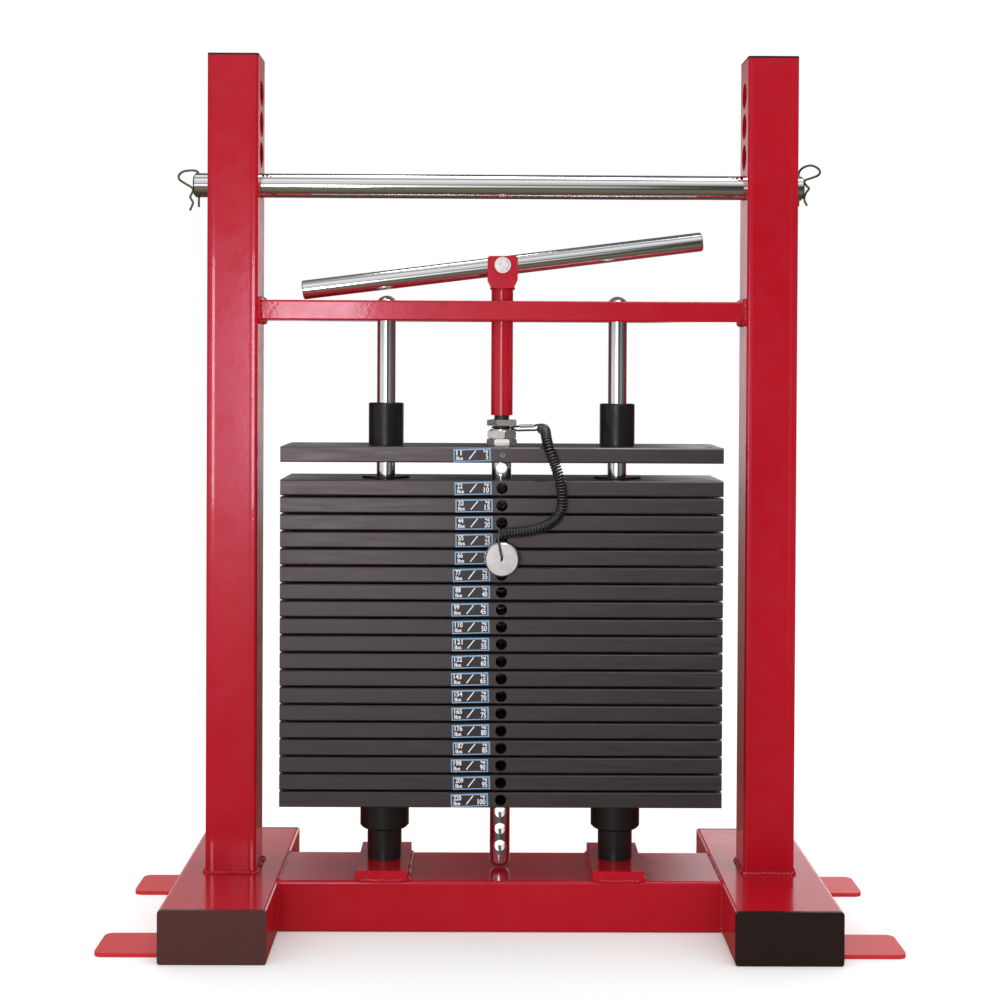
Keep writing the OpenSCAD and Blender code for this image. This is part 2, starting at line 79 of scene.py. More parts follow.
def place_camera():
    lens = bpy.data.cameras.new("camera")
    camera = bpy.data.objects.new("camera", lens)
    scene.collection.objects.link(camera)
    turn, dip, lean = (math.radians(a) for a in TURN_DIP_LEAN_DEG)
    level_right = Vector((math.cos(turn), math.sin(turn), 0))
    level_ahead = Vector((-math.sin(turn), math.cos(turn), 0))
    ahead = level_ahead * math.cos(dip) - UP * math.sin(dip)
    head = UP * math.cos(dip) + level_ahead * math.sin(dip)
    right = level_right * math.cos(lean) + head * math.sin(lean)
    top = head * math.cos(lean) - level_right * math.sin(lean)
    facing = Matrix((right, top, -ahead)).transposed().to_4x4()
    camera.matrix_world = Matrix.Translation(EYE) @ facing
    lens.sensor_width = 36
    lens.lens = FOCAL_LENGTH
    lens.shift_x, lens.shift_y = FRAME_SHIFT
    lens.clip_start = 0.05
    lens.clip_end = 200
    scene.camera = camera


place_camera()


# ---------------------------------------------------------------- finishes

def join(tree, value, socket):
    """Links a socket to the input, or sets the input to a value."""
    if isinstance(value, bpy.types.NodeSocket):
        tree.links.new(value, socket)
    else:
        socket.default_value = value


def math_node(tree, operation, *values):
    made = tree.nodes.new("ShaderNodeMath")
    made.operation = operation
    for value, socket in zip(values, made.inputs):
        join(tree, value, socket)
    return made.outputs[0]


class Finish:
    """A procedural material on Object coordinates."""

    def __init__(self, name, metal=0.0, roughness=0.5, colour=(0.5, 0.5, 0.5)):
        self.material = bpy.data.materials.new(name)
        self.material.use_nodes = True
        self.tree = self.material.node_tree
        self.shader = self.tree.nodes["Principled BSDF"]
        self.place = self.tree.nodes.new("ShaderNodeTexCoord").outputs["Object"]
        self.set("Metallic", metal)
        self.set("Roughness", roughness)
        self.set("Base Color", (*colour, 1))

    def set(self, socket, value):
        self.shader.inputs[socket].default_value = value

    def link(self, source, socket):
        self.tree.links.new(source, self.shader.inputs[socket])

    def node(self, kind, **inputs):
        made = self.tree.nodes.new(kind)
        for name, value in inputs.items():
            join(self.tree, value, made.inputs[name])
        return made

    def grain(self, scale, detail=2.0, stretch=(1, 1, 1)):
        spread = self.node("ShaderNodeMapping", Vector=self.place, Scale=stretch)
        noise = self.node("ShaderNodeTexNoise", Scale=scale, Detail=detail)
        self.tree.links.new(spread.outputs[0], noise.inputs["Vector"])
        return noise.outputs["Fac"]

    def between(self, source, low, high, start=0.3, end=0.7):
        spread = self.node("ShaderNodeMapRange")
        for k, value in enumerate((source, start, end, low, high)):
            join(self.tree, value, spread.inputs[k])
        return spread.outputs[0]

    def tint(self, source, first, second, start=0.3, end=0.7):
        ramp = self.tree.nodes.new("ShaderNodeValToRGB")
        ramp.color_ramp.elements[0].position = start
        ramp.color_ramp.elements[0].color = (*first, 1)
        ramp.color_ramp.elements[1].position = end
        ramp.color_ramp.elements[1].color = (*second, 1)
        self.tree.links.new(source, ramp.inputs[0])
        return ramp.outputs[0]

    def math(self, operation, *values):
        return math_node(self.tree, operation, *values)

    def vector(self, operation, first, second=None):
        made = self.tree.nodes.new("ShaderNodeVectorMath")
        made.operation = operation
        join(self.tree, first, made.inputs[0])
        if second is not None:
            join(self.tree, second, made.inputs[1])
        return made.outputs["Value" if operation == "LENGTH" else "Vector"]

    def bump(self, source, strength, distance, socket="Normal", under=None):
        bump = self.node("ShaderNodeBump", Height=source, Strength=strength)
        bump.inputs["Distance"].default_value = distance
        if under is not None:
            self.tree.links.new(under, bump.inputs["Normal"])
        if socket:
            self.link(bump.outputs[0], socket)
        return bump.outputs[0]


UPRIGHT_X = 265 * MM
SWELL_FROM_CENTRE = 19.5 * MM
SWELL_HALF_WIDTH = 2.6 * MM


def corner_swell(paint):
    """1 on a line a little inside each corner of the upright tubes, else 0."""
    spread = paint.node("ShaderNodeSeparateXYZ", Vector=paint.place)
    side = paint.math("ABSOLUTE", spread.outputs["X"])
    inside = paint.math("ABSOLUTE", paint.math("SUBTRACT", side, UPRIGHT_X))
    off = paint.math("ABSOLUTE", paint.math("SUBTRACT", inside, SWELL_FROM_CENTRE))
    return paint.between(off, 1.0, 0.0, 0.0, SWELL_HALF_WIDTH)


def red_powder_coat(name, gloss, first, second, swollen=False):
    """Powder coat; where swollen, a tube's wall stands out a little near its corners."""
    paint = Finish(name)
    paint.link(paint.tint(paint.grain(7, 3), first, second), "Base Color")
    paint.link(paint.between(paint.grain(60), 0.14, 0.24), "Roughness")
    peel = paint.grain(260, 1.5)
    wave = paint.bump(paint.grain(24, 1), 0.3, 0.0006, socket=None)
    if swollen:
        wave = paint.bump(corner_swell(paint), 1.0, 0.00014, socket=None, under=wave)
    paint.bump(peel, 0.3, 0.00012, "Coat Normal", under=wave)
    paint.bump(peel, 0.35, 0.00012, "Normal", under=wave)
    paint.set("Specular IOR Level", 0.4 * gloss)
    paint.set("Specular Tint", (1, 0.62, 0.92, 1))
    paint.set("Coat Weight", 0.36 * gloss)
    paint.set("Coat Roughness", 0.05)
    return paint.material


def stack_paint():
    paint = Finish("textured stack paint")
    speck = paint.grain(1300, 2)
    streak = paint.grain(20, 3, (1, 1, 14))
    mixed = paint.math("MULTIPLY", speck, streak)
    colour = paint.tint(mixed, (0.0165, 0.0132, 0.014), (0.0245, 0.0205, 0.0217), 0.14, 0.36)
    paint.link(colour, "Base Color")
    paint.link(paint.between(streak, 0.31, 0.42), "Roughness")
    paint.bump(speck, 0.4, 0.0001)
    paint.set("Specular IOR Level", 1.0)
    paint.set("Specular Tint", (1, 0.86, 0.9, 1))
    return paint.material


def chrome_plate():
    chrome = Finish("chrome plate", metal=1, colour=(0.8, 0.8, 0.81))
    chrome.link(chrome.between(chrome.grain(90, 3), 0.05, 0.1), "Roughness")
    chrome.bump(chrome.grain(300, 2), 0.02, 0.00001)
    return chrome.material


def zinc_plate():
    zinc = Finish("bright zinc plate", metal=0.8)
    zinc.link(zinc.tint(zinc.grain(300, 3), (0.76, 0.72, 0.7), (0.88, 0.84, 0.82)), "Base Color")
    zinc.link(zinc.between(zinc.grain(420, 3), 0.2, 0.34), "Roughness")
    zinc.bump(zinc.grain(900, 2), 0.12, 0.00004)
    return zinc.material


def oiled_steel():
    steel = Finish("oiled steel", metal=1)
    steel.link(steel.tint(steel.grain(350, 3), (0.1, 0.095, 0.09), (0.22, 0.21, 0.2)), "Base Color")
    steel.link(steel.between(steel.grain(500), 0.25, 0.4), "Roughness")
    steel.bump(steel.grain(1100, 2), 0.2, 0.00005)
    return steel.material


def moulded(name, dark, light, rough_low, rough_high, pore=1500, depth=0.00006):
    plastic = Finish(name)
    plastic.link(plastic.tint(plastic.grain(45, 4), dark, light), "Base Color")
    plastic.link(plastic.between(plastic.grain(130, 3), rough_low, rough_high), "Roughness")
    plastic.bump(plastic.grain(pore, 2), 0.3, depth)
    return plastic.material


def foot_cap_plastic():
    """Dark plastic, with painted light: the left pair of caps is painted lighter and redder as if lit from
    the left.
    """
    plastic = Finish("foot cap plastic, left pair painted lit")
    spread = plastic.node("ShaderNodeSeparateXYZ", Vector=plastic.place)
    # Painted light: caps at negative X get the lighter, redder colour, standing in for light falling from
    # the left; the noise mottle is the plastic's own tone.
    side = plastic.between(spread.outputs["X"], 0.0, 1.0, -0.1, 0.1)
    mottle_and_painted_left_light = plastic.math("MULTIPLY_ADD", plastic.grain(30, 4), 0.16, side)
    colour = plastic.tint(mottle_and_painted_left_light, (0.078, 0.024, 0.022), (0.018, 0.0078, 0.0052), 0.05, 1.1)
    plastic.link(colour, "Base Color")
    plastic.link(plastic.between(plastic.grain(130, 3), 0.32, 0.45), "Roughness")
    plastic.bump(plastic.grain(1500, 2), 0.3, 0.00006)
    plastic.set("Specular IOR Level", 0.3)
    return plastic.material


def turned_aluminium(centre):
    """Fine rings round an axis that runs from front to back through the centre."""
    metal = Finish("turned aluminium", metal=1)
    from_centre = metal.vector("SUBTRACT", metal.place, centre)
    reach = metal.vector("LENGTH", metal.vector("MULTIPLY", from_centre, (1, 0, 1)))
    rings = metal.node("ShaderNodeTexNoise", Scale=2600.0, Detail=2.0)
    rings.noise_dimensions = "1D"
    metal.tree.links.new(reach, rings.inputs["W"])
    metal.link(metal.tint(metal.grain(140, 3), (0.72, 0.69, 0.69), (0.84, 0.81, 0.81)), "Base Color")
    metal.link(metal.between(rings.outputs["Fac"], 0.22, 0.34), "Roughness")
    metal.bump(rings.outputs["Fac"], 0.12, 0.00004)
    return metal.material


def cable_jacket():
    jacket = Finish("cable jacket")
    colour = jacket.tint(jacket.grain(200, 2), (0.003, 0.003, 0.003), (0.008, 0.008, 0.0075))
    jacket.link(colour, "Base Color")
    jacket.link(jacket.between(jacket.grain(600), 0.3, 0.4), "Roughness")
    jacket.set("Specular IOR Level", 0.15)
    jacket.bump(jacket.grain(1800), 0.1, 0.00003)
    jacket.set("Coat Weight", 1.0)
    jacket.set("Coat IOR", 2.0)
    jacket.set("Coat Roughness", 0.05)
    return jacket.material


def spring_wire():
    wire = Finish("spring wire", metal=1)
    wire.link(wire.tint(wire.grain(260, 3), (0.1, 0.085, 0.045), (0.27, 0.235, 0.14)), "Base Color")
    wire.link(wire.between(wire.grain(500), 0.22, 0.36), "Roughness")
    wire.bump(wire.grain(1500), 0.15, 0.00003)
    return wire.material


def printed(name, dark, light, roughness):
    ink = Finish(name)
    ink.link(ink.tint(ink.grain(420, 3), dark, light), "Base Color")
    ink.link(ink.between(ink.grain(160), roughness, roughness + 0.12), "Roughness")
    ink.bump(ink.grain(1100), 0.08, 0.00003)
    return ink.material


pin_low, pin_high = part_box("pin_knob")
PIN_Z = (pin_low.z + pin_high.z) / 2
DEEP_RED, LIGHT_RED = (0.4, 0.0035, 0.0095), (0.44, 0.0055, 0.0135)
RED = red_powder_coat("red powder coat", 1.0, DEEP_RED, LIGHT_RED)
UPRIGHT_RED = red_powder_coat("upright red powder coat", 1.0, DEEP_RED, LIGHT_RED, swollen=True)
TAB_RED = red_powder_coat("dusty red powder coat", 0.35, (0.52, 0.026, 0.03), (0.6, 0.04, 0.042))
STACK = stack_paint()
CHROME = chrome_plate()
ZINC = zinc_plate()
OILED = oiled_steel()
# Foot cap plastic; its left pair carries painted light.
FOOT_PLASTIC_PAINTED_LIT_LEFT = foot_cap_plastic()
BLACK_PLASTIC = moulded("black plastic", (0.0055, 0.005, 0.0053), (0.011, 0.01, 0.0105), 0.3, 0.42)
RUBBER = moulded("black rubber", (0.0045, 0.0043, 0.0042), (0.009, 0.0088, 0.0085), 0.38, 0.52,
                 1100, 0.0001)
ALUMINIUM = turned_aluminium((0, 0, PIN_Z))
JACKET = cable_jacket()
WIRE = spring_wire()
FILM = printed("label field", (0.022, 0.018, 0.022), (0.034, 0.028, 0.034), 0.3)
BORDER = printed("label border", (0.16, 0.31, 0.5), (0.24, 0.41, 0.6), 0.35)
INK = printed("label numbers", (0.72, 0.68, 0.7), (0.85, 0.82, 0.84), 0.35)


# ---------------------------------------------------------------- mesh tools

def new_piece(name, points, faces, materials, smooth_angle=None):
    mesh = bpy.data.meshes.new(name)
    mesh.from_pydata([tuple(p) for p in points], [], faces)
    for material in materials:
        mesh.materials.append(material)
    mesh.update()
    piece = bpy.data.objects.new(name, mesh)
    scene.collection.objects.link(piece)
    shade(mesh, smooth_angle)
    return piece


def shade(mesh, angle):
    mesh.polygons.foreach_set("use_smooth", [True] * len(mesh.polygons))
    if angle is not None:
        mesh.set_sharp_from_angle(angle=math.radians(angle))


def finish_piece(piece, body, slot, *replaced):
    """The piece rides its body and stands for the CAD nodes named, which are hidden; slot is not used."""
    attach(piece, body)
    if replaced:
        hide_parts(*replaced)
    return piece


def spline(route, steps):
    """Catmull-Rom points along a route of Vectors."""
    out = []
    last = len(route) - 1
    for k in range(last):
        a = route[max(k - 1, 0)]
        b = route[k]
        c = route[k + 1]
        d = route[min(k + 2, last)]
        for s in range(steps):
            t = s / steps
            out.append(0.5 * (2 * b + (c - a) * t + (2 * a - 5 * b + 4 * c - d) * t * t
                              + (3 * b - a - 3 * c + d) * t ** 3))
    out.append(route[-1])
    return out


def even(points, step):
    """The same line, walked in steps of one length."""
    total = sum((b - a).length for a, b in zip(points, points[1:]))
    count = max(2, round(total / step))
    wanted = total / count
    out = [points[0].copy()]
    done = 0.0
    k = 0
    here = 0.0
    while len(out) < count:
        span = (points[k + 1] - points[k]).length
        need = wanted * len(out)
        if here + span >= need:
            out.append(points[k].lerp(points[k + 1], (need - here) / span))
        else:
            here += span
            k += 1
    out.append(points[-1].copy())
    return out


def carried_frames(points, side):
    """A pair of side vectors at each point, carried along without twist."""
    frames = []
    normal = None
    for k in range(len(points)):
        ahead = (points[min(k + 1, len(points) - 1)] - points[max(k - 1, 0)]).normalized()
        if normal is None:
            normal = (side - ahead * side.dot(ahead)).normalized()
        else:
            normal = (normal - ahead * normal.dot(ahead)).normalized()
        frames.append((ahead, normal, normal.cross(ahead)))
    return frames


def tube_shape(points, radii, sides, side=Vector((0.3, 0.4, 0.9))):
    """Rings along points with rounded closed ends."""
    frames = carried_frames(points, side)
    rings = []
    start_ahead = frames[0][0] * radii[0]
    end_ahead = frames[-1][0] * radii[-1]
    stations = [(points[0] - start_ahead * 0.55, frames[0], radii[0] * 0.62)]
    stations += zip(points, frames, radii)
    stations.append((points[-1] + end_ahead * 0.55, frames[-1], radii[-1] * 0.62))
    vertices = []
    for centre, (ahead, across, beside), radius in stations:
        ring = []
        for s in range(sides):
            turn = 2 * math.pi * s / sides
            ring.append(len(vertices))
            vertices.append(centre + radius * (math.cos(turn) * across + math.sin(turn) * beside))
        rings.append(ring)
    faces = []
    for low, high in zip(rings, rings[1:]):
        for s in range(sides):
            n = (s + 1) % sides
            faces.append((low[s], high[s], high[n], low[n]))
    start = len(vertices)
    vertices.append(points[0] - start_ahead * 0.8)
    vertices.append(points[-1] + end_ahead * 0.8)
    for s in range(sides):
        n = (s + 1) % sides
        faces.append((start, rings[0][s], rings[0][n]))
        faces.append((start + 1, rings[-1][n], rings[-1][s]))
    return vertices, faces


def tube(name, points, radius, sides, material, smooth_angle=60):
    radii = radius if isinstance(radius, list) else [radius] * len(points)
    vertices, faces = tube_shape(points, radii, sides)
    piece = new_piece(name, vertices, faces, [material], smooth_angle)
    outward(piece.data)
    return piece


def outward(mesh):
    work = bmesh.new()
    work.from_mesh(mesh)
    bmesh.ops.remove_doubles(work, verts=work.verts, dist=1e-7)
    bmesh.ops.recalc_face_normals(work, faces=work.faces)
    work.to_mesh(mesh)
    work.free()


def lathe_shape(profile, steps, place):
    """Turns (radius, height) pairs round +Z; radius 0 closes at a pole."""
    vertices = []
    faces = []
    rings = []
    for radius, height in profile:
        if radius < 1e-9:
            rings.append([len(vertices)])
            vertices.append(place @ Vector((0, 0, height)))
            continue
        ring = []
        for s in range(steps):
            turn = 2 * math.pi * s / steps
            ring.append(len(vertices))
            vertices.append(place @ Vector((radius * math.cos(turn), radius * math.sin(turn), height)))
        rings.append(ring)
    for low, high in zip(rings, rings[1:]):
        for s in range(steps):
            n = (s + 1) % steps
            if len(low) == 1:
                faces.append((low[0], high[n], high[s]))
            elif len(high) == 1:
                faces.append((low[s], low[n], high[0]))
            else:
                faces.append((low[s], low[n], high[n], high[s]))
    return vertices, faces


def lathe(name, parts, steps, materials, smooth_angle=35):
    """parts is a list of (profile, placing matrix) turned into one piece."""
    vertices = []
    faces = []
    for profile, place in parts:
        more, sides = lathe_shape(profile, steps, place)
        start = len(vertices)
        vertices += more
        faces += [tuple(start + i for i in face) for face in sides]
    piece = new_piece(name, vertices, faces, materials, smooth_angle)
    outward(piece.data)
    shade(piece.data, smooth_angle)
    return piece


def facing_y(x, y, z):
    """Places a shape turned round +Z so that its axis runs to the back from (x, y, z) in mm."""
    return Matrix.Translation(mm(x, y, z)) @ Matrix.Rotation(math.radians(-90), 4, "X")


def scaled(profile):
    return [(r * MM, h * MM) for r, h in profile]


# ---------------------------------------------------------------- lanyard

CORD_D = 2.1 * MM
COIL_R = 4.35 * MM
COIL_PITCH = 2.9 * MM
POINTS_A_TURN = 16
COIL_ROUTE = [
    (39, -18, 488), (41, -27, 488), (42, -37, 486.5), (42.5, -47.5, 482), (43.6, -55, 475.5),
    (46, -59.5, 467), (50.6, -60, 455), (54, -60, 444.5), (56.5, -60, 433), (57.5, -60, 421),
    (57, -60, 413), (54.5, -60.5, 407), (50, -61, 401.5), (43.5, -61.5, 397), (36, -62, 393.5),
    (26.5, -62.5, 391.3), (17, -62.5, 390), (7.3, -62.5, 389.2), (-2.5, -62.5, 388.5),
]
TAIL_ROUTE = [
    (-3.5, -69, 384.5), (-3.2, -70.5, 381.5), (-2.6, -72, 377.5), (-1.7, -73.2, 372.5),
    (-0.6, -73.8, 368), (0, -72.5, 365), (0, -70, 364.2), (0, -67, 364.2), (0, -63, 364.2),
]
STRAND_ROUTE = [
    (8.8, -3.7, 488.75), (13, -5.6, 489.6), (18, -7.9, 490.3), (25, -11, 490.6), (31, -13.8, 490.9),
    (35.2, -15.9, 491.9),
]
LOWER_STRAND_ROUTE = [
    (9.9, -4.6, 488.0), (12.4, -7.2, 486.9), (15.4, -9.0, 486.0), (20.5, -11.2, 486.3),
    (28, -14.2, 486.6), (33.5, -16.4, 486.8), (36.4, -18.2, 487.9), (38.2, -20.6, 489.6),
    (40, -22.4, 489.4), (41.2, -23.4, 487.6),
]
LOOP_R = 9.35
LOOP_Z = 488.75
FRONT = Vector((0, -1, 0))


def coil_points():
    """The wire's centreline round the coil's axis, ending at the front, on its way down."""
    axis = even(spline([mm(*p) for p in COIL_ROUTE], 8), COIL_PITCH / POINTS_A_TURN)
    frames = carried_frames(axis, UP)
    across, beside = frames[-1][1], frames[-1][2]
    last_angle = math.atan2(FRONT.dot(beside), FRONT.dot(across)) % (2 * math.pi)
    turns = round((len(axis) - 1) / POINTS_A_TURN)
    full = 2 * math.pi * (turns - 1) + last_angle
    out = []
    for k, (centre, (ahead, across, beside)) in enumerate(zip(axis, frames)):
        angle = full * k / (len(axis) - 1)
        out.append(centre + COIL_R * (math.cos(angle) * across + math.sin(angle) * beside))
    return out


def lanyard_line():
    coil = coil_points()
    lead = spline([mm(*p) for p in STRAND_ROUTE] + [coil[0], coil[1]], 6)[:-6]
    tail = spline([coil[-3], coil[-1]] + [mm(*p) for p in TAIL_ROUTE], 5)[6:]
    return lead + coil + tail


LANYARD = lanyard_line()


def make_lanyard():
    cable = tube("lanyard_cable", LANYARD, CORD_D / 2, 8, JACKET, None)
    around = [Vector((LOOP_R * math.cos(a), LOOP_R * math.sin(a), LOOP_Z)) * MM
              for a in (math.radians(d) for d in range(-40, 301, 10))]
    lower = [mm(*p) for p in LOWER_STRAND_ROUTE]
    loop = tube("lanyard_loop_wire", around, CORD_D / 2, 10, JACKET, None)
    lead = tube("lanyard_lower_strand", spline(lower, 6), CORD_D / 2 * 0.95, 10, JACKET, None)
    sleeve_line = [mm(*STRAND_ROUTE[2]).lerp(mm(*STRAND_ROUTE[4]), t / 12) for t in range(13)]
    sleeve_radii = [(1.66 + (0.14 if t in (2, 6, 10) else 0.0) - (0.18 if t in (4, 8) else 0.0)) * MM
                    for t in range(13)]
    sleeve = tube("lanyard_sleeve", sleeve_line, sleeve_radii, 14, ZINC, None)
    finish_piece(loop, "carriage", "lanyard_cord", "lanyard_loop")
    finish_piece(lead, "carriage", "lanyard_cord")
    finish_piece(sleeve, "carriage", "plated_steel")
    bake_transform(cable)
    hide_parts("lanyard_coil", "lanyard_tail")


make_lanyard()


# ---------------------------------------------------------------- weld beads and thread

def group_socket(tree, name, kind, value=None, way="INPUT"):
    socket = tree.interface.new_socket(name, in_out=way, socket_type=kind)
    if value is not None:
        socket.default_value = value
    return socket


class Tree:
    """A geometry node tree with short ways to add and join nodes."""

    def __init__(self, name):
        self.tree = bpy.data.node_groups.new(name, "GeometryNodeTree")
        group_socket(self.tree, "Geometry", "NodeSocketGeometry", way="OUTPUT")
        self.source = None

    def begin(self):
        self.source = self.tree.nodes.new("NodeGroupInput")

    def take(self, name):
        return self.source.outputs[name]

    def node(self, kind, *inputs, **named):
        made = self.tree.nodes.new(kind)
        for k, value in enumerate(inputs):
            self.join(value, made.inputs[k])
        for name, value in named.items():
            self.join(value, made.inputs[name.replace("_", " ")])
        return made

    def join(self, value, socket):
        join(self.tree, value, socket)

    def math(self, operation, *inputs):
        return math_node(self.tree, operation, *inputs)

    def scaled(self, vector, factor):
        made = self.tree.nodes.new("ShaderNodeVectorMath")
        made.operation = "SCALE"
        self.join(vector, made.inputs[0])
        self.join(factor, made.inputs[3])
        return made.outputs[0]

    def end(self, geometry, material):
        real = self.node("GeometryNodeRealizeInstances", geometry)
        smooth = self.node("GeometryNodeSetShadeSmooth", real.outputs[0])
        coated = self.node("GeometryNodeSetMaterial", smooth.outputs[0])
        self.join(material, coated.inputs["Material"])
        out = self.tree.nodes.new("NodeGroupOutput")
        self.tree.links.new(coated.outputs[0], out.inputs[0])


def weld_bead_tree():
    t = Tree("weld bead")
    group_socket(t.tree, "Geometry", "NodeSocketGeometry")
    for name, value in (("Bead radius", 0.003), ("Ripple pitch", 0.004), ("Ripple depth", 0.2),
                        ("Wander", 0.0008)):
        group_socket(t.tree, name, "NodeSocketFloat", value)
    group_socket(t.tree, "Seed", "NodeSocketFloat", 1.0)
    group_socket(t.tree, "Material", "NodeSocketMaterial")
    t.begin()
    line = t.node("GeometryNodeMeshToCurve", t.take("Geometry"))
    walked = t.node("GeometryNodeResampleCurve", line.outputs[0])
    walked.mode = "LENGTH"
    t.join(t.math("DIVIDE", t.take("Ripple pitch"), 6.0), walked.inputs["Length"])
    place = t.node("GeometryNodeInputPosition")
    noise = t.node("ShaderNodeTexNoise", Scale=190.0, Detail=2.0)
    noise.noise_dimensions = "4D"
    t.join(place.outputs[0], noise.inputs["Vector"])
    t.join(t.take("Seed"), noise.inputs["W"])
    centred = t.node("ShaderNodeVectorMath", noise.outputs["Color"], (0.5, 0.5, 0.5))
    centred.operation = "SUBTRACT"
    drift = t.scaled(centred.outputs[0], t.take("Wander"))
    moved = t.node("GeometryNodeSetPosition", walked.outputs[0], Offset=drift)
    along = t.node("GeometryNodeSplineParameter")
    phase = t.math("FRACT", t.math("DIVIDE", along.outputs["Length"], t.take("Ripple pitch")))
    ripple = t.math("SUBTRACT", 1.0, t.math("MULTIPLY", phase, t.take("Ripple depth")))
    lumps = t.math("MULTIPLY_ADD", noise.outputs["Fac"], 0.7, 0.65)
    size = t.math("MULTIPLY", t.take("Bead radius"), t.math("MULTIPLY", ripple, lumps))
    ring = t.node("GeometryNodeCurvePrimitiveCircle", Resolution=10, Radius=1.0)
    swept = t.node("GeometryNodeCurveToMesh", moved.outputs[0], ring.outputs["Curve"])
    t.join(size, swept.inputs["Scale"])
    swept.inputs["Fill Caps"].default_value = True
    t.end(swept.outputs[0], t.take("Material"))
    return t.tree


def thread_tree():
    t = Tree("screw thread")
    for name, value in (("Turns", 20.0), ("Height", 0.04), ("Outer radius", 0.008), ("Depth", 0.001)):
        group_socket(t.tree, name, "NodeSocketFloat", value)
    group_socket(t.tree, "Start height", "NodeSocketFloat", 0.0)
    group_socket(t.tree, "Material", "NodeSocketMaterial")
    t.begin()
    middle = t.math("SUBTRACT", t.take("Outer radius"), t.math("MULTIPLY", t.take("Depth"), 0.75))
    spiral = t.node("GeometryNodeCurveSpiral", Resolution=28)
    t.join(t.take("Turns"), spiral.inputs["Rotations"])
    t.join(middle, spiral.inputs["Start Radius"])
    t.join(middle, spiral.inputs["End Radius"])
    t.join(t.take("Height"), spiral.inputs["Height"])
    crest = t.node("GeometryNodeCurvePrimitiveCircle", Resolution=5)
    t.join(t.math("MULTIPLY", t.take("Depth"), 0.75), crest.inputs["Radius"])
    ridge = t.node("GeometryNodeCurveToMesh", spiral.outputs[0], crest.outputs["Curve"])
    ridge.inputs["Fill Caps"].default_value = True
    core = t.node("GeometryNodeMeshCylinder", Vertices=40)
    t.join(t.math("SUBTRACT", t.take("Outer radius"), t.take("Depth")), core.inputs["Radius"])
    t.join(t.take("Height"), core.inputs["Depth"])
    lift = t.node("ShaderNodeCombineXYZ")
    t.join(t.math("MULTIPLY", t.take("Height"), 0.5), lift.inputs["Z"])
    raised = t.node("GeometryNodeTransform", core.outputs["Mesh"], Translation=lift.outputs[0])
    joined = t.node("GeometryNodeJoinGeometry", raised.outputs[0])
    t.tree.links.new(ridge.outputs[0], joined.inputs[0])
    base = t.node("ShaderNodeCombineXYZ")
    t.join(t.take("Start height"), base.inputs["Z"])
    placed = t.node("GeometryNodeTransform", joined.outputs[0], Translation=base.outputs[0])
    t.end(placed.outputs[0], t.take("Material"))
    return t.tree


def grown(name, tree, vertices, edges, values):
    """Runs a node tree on a line drawing and keeps the result as a plain mesh."""
    seed_mesh = bpy.data.meshes.new(name + "_line")
    seed_mesh.from_pydata([tuple(v) for v in vertices], edges, [])
    holder = bpy.data.objects.new(name + "_line", seed_mesh)
    scene.collection.objects.link(holder)
    modifier = holder.modifiers.new("grow", "NODES")
    modifier.node_group = tree
    names = {s.name: s.identifier for s in tree.interface.items_tree if s.in_out == "INPUT"}
    for key, value in values.items():
        modifier[names[key]] = value
    ready = holder.evaluated_get(bpy.context.evaluated_depsgraph_get())
    mesh = bpy.data.meshes.new_from_object(ready)
    mesh.name = name
    bpy.data.objects.remove(holder)
    piece = bpy.data.objects.new(name, mesh)
    scene.collection.objects.link(piece)
    outward(mesh)
    return piece


def line_set(lines):
    """Vertices and edges of several polylines, given as (points, closed)."""
    vertices = []
    edges = []
    for points, closed in lines:
        start = len(vertices)
        vertices += [mm(*p) for p in points]
        edges += [(start + k, start + k + 1) for k in range(len(points) - 1)]
        if closed:
            edges.append((start + len(points) - 1, start))
    return vertices, edges


def box_line(x, y, z, w, d, r=3.0):
    """A rounded rectangle round (x, y) at height z."""
    out = []
    for sx, sy, first in ((1, 1, 0), (-1, 1, 90), (-1, -1, 180), (1, -1, 270)):
        for s in range(4):
            a = math.radians(first + 30 * s)
            out.append((x + sx * (w / 2 - r) + r * math.cos(a), y + sy * (d / 2 - r) + r * math.sin(a), z))
    return out


def end_line(x, y, z, d, h, r=2.0):
    """A rounded rectangle in the plane of an end face at x."""
    return [(x, y + px, z + py) for px, py, _ in box_line(0, 0, 0, d, h, r)]


BEAD = weld_bead_tree()


def weld(name, lines, body, radius, pitch, depth, wander, seed):
    vertices, edges = line_set(lines)
    values = {"Bead radius": radius * MM, "Ripple pitch": pitch * MM, "Ripple depth": depth,
              "Wander": wander * MM, "Seed": float(seed), "Material": RED}
    piece = grown(name, BEAD, vertices, edges, values)
    return finish_piece(piece, body, "red_paint")


FOOT_TOP = 50
FOOT_INNER_X = 215
UPRIGHT_SIDE = 50
ROD_X = 115
WELD_LIFT = 0.4


